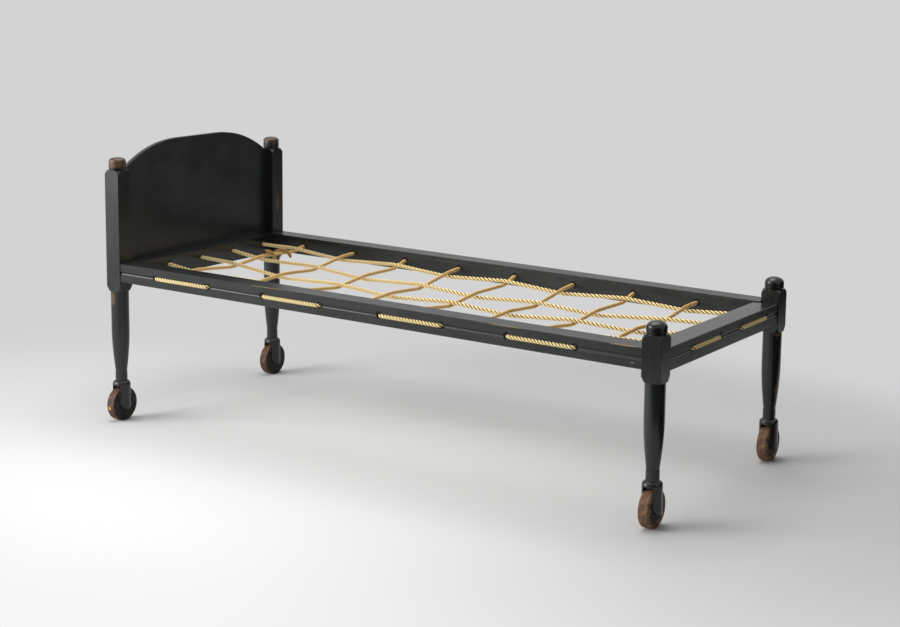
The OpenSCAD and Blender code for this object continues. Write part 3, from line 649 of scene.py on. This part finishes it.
def strand_rings(centre, strand_r):
    """Rings of points round a strand's centre line, pulled in to a blunt tip at each end."""
    _, u, v = frames(centre)
    size = np.full(len(centre), strand_r)
    size[[0, -1]] *= TIP
    angles = [2 * np.pi * j / STRAND_SIDES for j in range(STRAND_SIDES)]
    return np.stack([centre + size[:, None] * (math.cos(a) * u + math.sin(a) * v) for a in angles], 1)


def strand_faces(base, rings):
    """The ring and the side that each of a strand's quads starts from, and the quads."""
    i, j = np.meshgrid(np.arange(rings - 1), np.arange(STRAND_SIDES), indexing="ij")
    a = base + i * STRAND_SIDES + j
    b = base + i * STRAND_SIDES + (j + 1) % STRAND_SIDES
    return i, j, np.stack([a, b, b + STRAND_SIDES, a + STRAND_SIDES], 2).reshape(-1, 4).tolist()


def lay_rope(name, route, lay, material, slot, *replaced):
    """Three strands laid right-handed round the route, each going once round in lay mm, as one mesh. Each
    point has a crown value, 1 on the rope's outside, and each corner a UV that runs along its strand."""
    q = resampled(route, RING)
    _, u, v = frames(q)
    s = np.concatenate([[0], np.cumsum(np.linalg.norm(np.diff(q, axis=0), axis=1))])
    radius = ROPE_D / 2
    strand_r = radius * STRAND_R
    along = s * MM
    around = 2 * np.pi * strand_r * MM / STRAND_SIDES
    points, faces, crown, uv = [], [], [], []
    for strand in range(STRANDS):
        w = 2 * np.pi * (s / lay + strand / STRANDS)
        centre = q + (radius - strand_r) * (np.cos(w)[:, None] * u + np.sin(w)[:, None] * v)
        ring = strand_rings(centre, strand_r)
        out = np.linalg.norm(ring - q[:, None, :], axis=2) / radius
        crown.append(np.clip((out - CROWN_STARTS) / (1 - CROWN_STARTS), 0, 1).reshape(-1))
        base = strand * len(q) * STRAND_SIDES
        last = base + (len(q) - 1) * STRAND_SIDES
        points.append(ring.reshape(-1, 3))
        i, j, quads = strand_faces(base, len(q))
        faces += quads
        faces.append(list(range(base + STRAND_SIDES - 1, base - 1, -1)))
        faces.append(list(range(last, last + STRAND_SIDES)))
        corner_u = np.stack([along[i], along[i], along[i + 1], along[i + 1]], 2).reshape(-1)
        corner_v = np.stack([j, j + 1, j + 1, j], 2).reshape(-1) * around
        uv.append(np.stack([corner_u + strand * STRAND_SHIFT, corner_v], 1))
        uv.append(np.zeros((2 * STRAND_SIDES, 2)))
    flat = np.concatenate(points) * MM + np.array([START[0], START[1], 0])
    mesh = bpy.data.meshes.new(name)
    mesh.from_pydata(flat.tolist(), [], faces)
    mesh.uv_layers.new(name="strand").data.foreach_set("uv", np.concatenate(uv).astype(np.float32).ravel())
    mesh.attributes.new("crown", "FLOAT", "POINT").data.foreach_set(
        "value", np.concatenate(crown).astype(np.float32))
    mesh.polygons.foreach_set("use_smooth", [True] * len(mesh.polygons))
    mesh.materials.append(material)
    piece = bpy.data.objects.new(name, mesh)
    scene.collection.objects.link(piece)
    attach(piece, "frame")
    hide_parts(*replaced)


lay_rope("crosswise_laid_rope", crosswise_route(), LAY, TAN_HEMP, "crosswise_cord",
         "crosswise_rope", "crosswise_knot_head", "crosswise_knot_foot")
lay_rope("lengthwise_laid_rope", lengthwise_route(), COARSE_LAY, GOLD_HEMP, "lengthwise_cord",
         "lengthwise_rope", "lengthwise_knot_near", "lengthwise_knot_far")
lay_rope("tied_laid_rope", tie_route(), LAY, BROWN_HEMP, "crosswise_cord", "tied_rope_end")


# ---------------------------------------------------------------- stage, in metres
FLOOR_R = 40
# Linear, of the plain paper and the room behind it, and of the pool of light painted on the paper
PAPER_TONE, POOL_TONE = 0.65, 0.925
POOL = (0.09, -1.50)                    # middle of the light patch, in front of the bed
POOL_EDGE, POOL_CORE = 2.2, 0.2         # where it ends and where it is lightest
NEAR_ZONE = (1.9, 1.35)                 # half sides of the ellipse in which the paper takes the lamps' light
ZONE_FADES, ZONE_ENDS = 0.74, 1.3       # shares of that ellipse
# Dark boards as (middle, size, turn, axis), in metres to the right of, behind and above the bed's middle
DARK_BOARDS = [
    ((2.6, 1.75, 0.55), (1.1, 6.5), math.pi / 2, "Y"),
    ((0.8, -6.2, 1.5), (7.0, 3.0), math.pi / 2, "X"),
    ((0.4, -4.0, 0.004), (5.2, 4.4), 0, "X"),
    ((1.9, -1.15, 0.004), (1.6, 1.7), 0, "X"),
    ((2.4, 0.05, 0.004), (0.4, 0.75), 0, "X"),
]


def seen_ray(tree):
    """One for rays that show the background: straight to the camera, or by way of gloss or glass."""
    path = add(tree, "LightPath").node.outputs
    either = add(tree, "Math", {0: path["Is Camera Ray"], 1: path["Is Glossy Ray"]}, operation="MAXIMUM")
    return add(tree, "Math", {0: either, 1: path["Is Transmission Ray"]}, operation="MAXIMUM")


def pale_paper():
    """Matt paper, with a pool of light painted into its colour. Round the bed the lamps light it and it
    carries the bed's shadow, and further out it turns into the plain backdrop."""
    made, tree = new_material("pale_paper")
    where = add(tree, "TexCoord", out="Object")
    # The pool of light is painted into the paper's colour
    away = add(tree, "VectorMath", {0: where, 1: (*POOL, 0)}, out="Value", operation="DISTANCE")
    pool = add(tree, "MapRange", {"Value": away, "From Min": POOL_EDGE, "From Max": POOL_CORE},
               interpolation_type="SMOOTHSTEP")
    tone = add(tree, "MapRange", {"Value": pool, "To Min": PAPER_TONE, "To Max": POOL_TONE})
    zone = add(tree, "Mapping", {"Vector": where, "Scale": (1 / NEAR_ZONE[0], 1 / NEAR_ZONE[1], 1)})
    zone = add(tree, "VectorMath", {0: zone}, out="Value", operation="LENGTH")
    far = add(tree, "MapRange", {"Value": zone, "From Min": ZONE_FADES, "From Max": ZONE_ENDS},
              interpolation_type="SMOOTHSTEP")
    plain = add(tree, "Math", {0: far, 1: seen_ray(tree)}, operation="MULTIPLY")
    matt = add(tree, "BsdfDiffuse", {"Color": tone})
    glow = add(tree, "Emission", {"Color": tone})
    add(tree, "OutputMaterial", {"Surface": add(tree, "MixShader", {0: plain, 1: matt, 2: glow})})
    return made


def dark_felt():
    """Black-grey felt, dead matt."""
    made, tree = new_material("dark_felt")
    add(tree, "OutputMaterial", {"Surface": add(tree, "BsdfDiffuse", {"Color": colour("181818")})})
    return made


def stage_piece(name, shape, material):
    """A piece of the stage from a bmesh, which is freed."""
    mesh = bpy.data.meshes.new(name)
    shape.to_mesh(mesh)
    shape.free()
    mesh.materials.append(material)
    made = bpy.data.objects.new(name, mesh)
    scene.collection.objects.link(made)
    return made


def set_stage():
    """A pale paper floor without end. Dark boards stand to the right and behind the camera, and dark cloths
    lie in front of the paper. The camera doesn't see them, but the paint's gloss does."""
    disc = bmesh.new()
    bmesh.ops.create_circle(disc, cap_ends=True, segments=64, radius=FLOOR_R)
    stage_piece("paper_floor", disc, pale_paper())
    boards = bmesh.new()
    for middle, size, turn, axis in DARK_BOARDS:
        made = bmesh.ops.create_grid(boards, x_segments=1, y_segments=1, size=0.5)["verts"]
        bmesh.ops.scale(boards, vec=(*size, 1), verts=made)
        stand = Matrix.Rotation(YAW, 4, "Z") @ Matrix.Translation(middle) @ Matrix.Rotation(turn, 4, axis)
        bmesh.ops.transform(boards, matrix=stand, verts=made)
    flags = stage_piece("dark_boards", boards, dark_felt())
    flags.visible_camera = flags.visible_diffuse = flags.visible_shadow = False


# ---------------------------------------------------------------- lights
def area_lamp(name, spot, aim, sides, power):
    lamp = bpy.data.lights.new(name, "AREA")
    lamp.shape = "RECTANGLE"
    lamp.size, lamp.size_y = sides
    lamp.energy = power
    made = bpy.data.objects.new(name, lamp)
    spot, aim = Vector(spot), Vector(aim)
    made.location = spot
    made.rotation_euler = (aim - spot).to_track_quat("-Z", "Y").to_euler()
    scene.collection.objects.link(made)


# The room is pale to the left and above, and dark to the right: ROOM_WAY points to its pale side
ROOM_WAY = (-math.cos(YAW), -math.sin(YAW), 0.6)
DARK_WAY, PALE_WAY = -0.6, 0.8          # how far that way it is darkest and palest
ROOM_DARK, ROOM_PALE = 0.03, 0.4


def set_room():
    """The room's light from all round, and the plain backdrop behind the paper."""
    world = bpy.data.worlds.new("studio")
    world.use_nodes = True
    world.node_tree.nodes.clear()
    tree = world.node_tree
    way = add(tree, "TexCoord", out="Generated")
    side = add(tree, "VectorMath", {0: way, 1: ROOM_WAY}, out="Value", operation="DOT_PRODUCT")
    level = add(tree, "MapRange", {
        "Value": side, "From Min": DARK_WAY, "From Max": PALE_WAY, "To Min": ROOM_DARK, "To Max": ROOM_PALE})
    strength = add(tree, "Mix", {0: seen_ray(tree), 2: level, 3: PAPER_TONE})
    glow = add(tree, "Background", {"Color": (1, 1, 1, 1), "Strength": strength})
    add(tree, "OutputWorld", {"Surface": glow})
    scene.world = world


set_stage()
# Place, aim and sides in metres, and watts
area_lamp("key_soft_left", (-3.4, -3.5, 1.8), (-0.2, 0, 0.5), (3.0, 2.4), 200)
area_lamp("fill_top", (-0.5, 0.3, 4.4), (0, 0, 0), (4.0, 3.0), 120)
set_room()
scene.view_settings.view_transform = "Standard"
